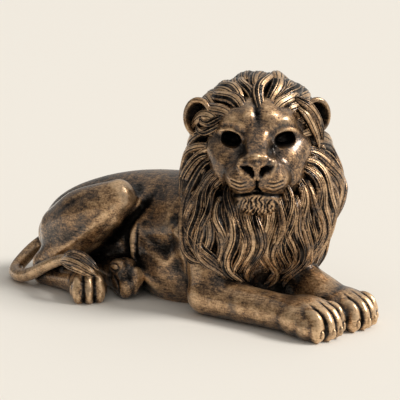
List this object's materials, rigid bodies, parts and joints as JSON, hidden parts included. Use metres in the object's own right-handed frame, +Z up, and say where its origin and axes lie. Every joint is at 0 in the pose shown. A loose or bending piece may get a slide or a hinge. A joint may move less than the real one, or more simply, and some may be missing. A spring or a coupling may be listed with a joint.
{
  "type": "lion sculpture",
  "caption": "Bronze lion lying at rest with its head turned to one side, a carved mane of long locks, folded hind legs and outstretched fore paws.",
  "frame": {"origin": "on the flat underside, under the middle of the belly", "axes": "+X the way the body faces, +Y the lion's left, +Z up"},
  "size_m": [0.3349, 0.1543, 0.189],
  "materials": {
    "patinated_bronze": "dark antique bronze patina rubbed back to copper gold on the raised edges, under a thin lacquer"
  },
  "bodies": {
    "root": {"lion": "patinated_bronze"}
  },
  "joints": []
}
